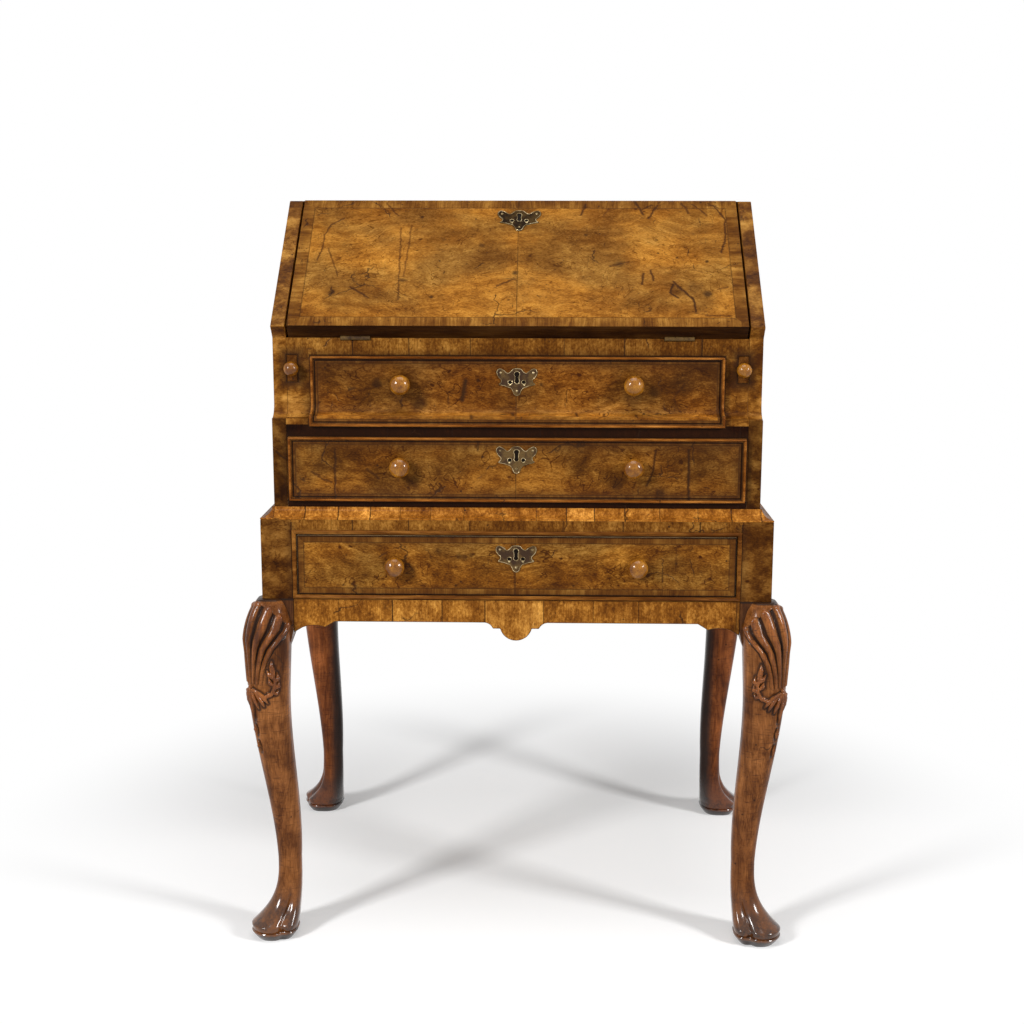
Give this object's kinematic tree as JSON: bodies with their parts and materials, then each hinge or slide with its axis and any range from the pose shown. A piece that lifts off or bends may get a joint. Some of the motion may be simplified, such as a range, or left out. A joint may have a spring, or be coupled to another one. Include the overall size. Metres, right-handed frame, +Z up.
{
  "type": "bureau on stand",
  "caption": "Slope-front walnut bureau with a fall on lopers and lipped drawers, on a stand with a drawer and cabriole legs.",
  "frame": {"origin": "on the floor, midway between the four legs", "axes": "+X to the right seen from the front, -Y towards the front, +Z up"},
  "size_m": [0.718, 0.523, 0.9809],
  "materials": {
    "walnut_veneer": "satin varnish",
    "burr_walnut": "satin varnish",
    "solid_walnut": "polished",
    "drawer_lining": "unfinished",
    "brass": "aged",
    "lock_iron": "dull"
  },
  "bodies": {
    "bureau": {"front_left_leg": "solid_walnut", "front_right_leg": "solid_walnut", "back_left_leg": "solid_walnut", "back_right_leg": "solid_walnut", "apron": "walnut_veneer", "stand_top_rail": "walnut_veneer", "stand_left_side": "walnut_veneer", "stand_right_side": "walnut_veneer", "stand_back_rail": "drawer_lining", "stand_bead_rails": "solid_walnut", "stand_bead_sides": "solid_walnut", "stand_drawer_runners": "drawer_lining", "stand_front_moulding": "solid_walnut", "stand_side_mouldings": "solid_walnut", "case_left_side": "walnut_veneer", "case_right_side": "walnut_veneer", "case_bottom": "drawer_lining", "case_back": "drawer_lining", "case_top": "walnut_veneer", "drawer_rail": "walnut_veneer", "dust_board": "drawer_lining", "lower_stiles": "walnut_veneer", "hinge_rail": "walnut_veneer", "writing_bed": "walnut_veneer", "loper_guides": "walnut_veneer", "gallery_shelf": "walnut_veneer", "gallery_dividers": "walnut_veneer", "hinge_case_leaves": "brass", "hinge_pins": "brass"},
    "upper_drawer": {"upper_drawer_front": "burr_walnut", "upper_drawer_sides": "drawer_lining", "upper_drawer_back": "drawer_lining", "upper_drawer_bottom": "drawer_lining", "upper_drawer_knobs": "solid_walnut", "upper_drawer_escutcheon": "brass", "upper_drawer_lock": "lock_iron"},
    "middle_drawer": {"middle_drawer_front": "burr_walnut", "middle_drawer_sides": "drawer_lining", "middle_drawer_back": "drawer_lining", "middle_drawer_bottom": "drawer_lining", "middle_drawer_knobs": "solid_walnut", "middle_drawer_escutcheon": "brass", "middle_drawer_lock": "lock_iron"},
    "stand_drawer": {"stand_drawer_front": "burr_walnut", "stand_drawer_sides": "drawer_lining", "stand_drawer_back": "drawer_lining", "stand_drawer_bottom": "drawer_lining", "stand_drawer_knobs": "solid_walnut", "stand_drawer_escutcheon": "brass", "stand_drawer_lock": "lock_iron"},
    "fall": {"fall_panel": "burr_walnut", "fall_lock": "lock_iron", "fall_escutcheon": "brass", "hinge_fall_leaves": "brass"},
    "left_loper": {"left_loper": "walnut_veneer"},
    "right_loper": {"right_loper": "walnut_veneer"},
    "small_left_drawer": {"small_left_drawer_front": "walnut_veneer", "small_left_drawer_box": "drawer_lining"},
    "small_right_drawer": {"small_right_drawer_front": "walnut_veneer", "small_right_drawer_box": "drawer_lining"}
  },
  "joints": [
    {"name": "fall_hinge", "type": "hinge", "parent": "bureau", "child": "fall", "pos_m": [0, -0.1979, 0.806], "axis": [1, 0, 0], "range_deg": [0, 138]},
    {"name": "left_loper_slide", "type": "slide", "parent": "bureau", "child": "left_loper", "axis": [0, -1, 0], "range_m": [0, 0.25]},
    {"name": "right_loper_slide", "type": "slide", "parent": "bureau", "child": "right_loper", "axis": [0, -1, 0], "range_m": [0, 0.25]},
    {"name": "upper_drawer_slide", "type": "slide", "parent": "bureau", "child": "upper_drawer", "axis": [0, -1, 0], "range_m": [0, 0.3]},
    {"name": "middle_drawer_slide", "type": "slide", "parent": "bureau", "child": "middle_drawer", "axis": [0, -1, 0], "range_m": [0, 0.3]},
    {"name": "stand_drawer_slide", "type": "slide", "parent": "bureau", "child": "stand_drawer", "axis": [0, -1, 0], "range_m": [0, 0.3]},
    {"name": "small_left_drawer_slide", "type": "slide", "parent": "bureau", "child": "small_left_drawer", "axis": [0, -1, 0], "range_m": [0, 0.12]},
    {"name": "small_right_drawer_slide", "type": "slide", "parent": "bureau", "child": "small_right_drawer", "axis": [0, -1, 0], "range_m": [0, 0.12]}
  ]
}
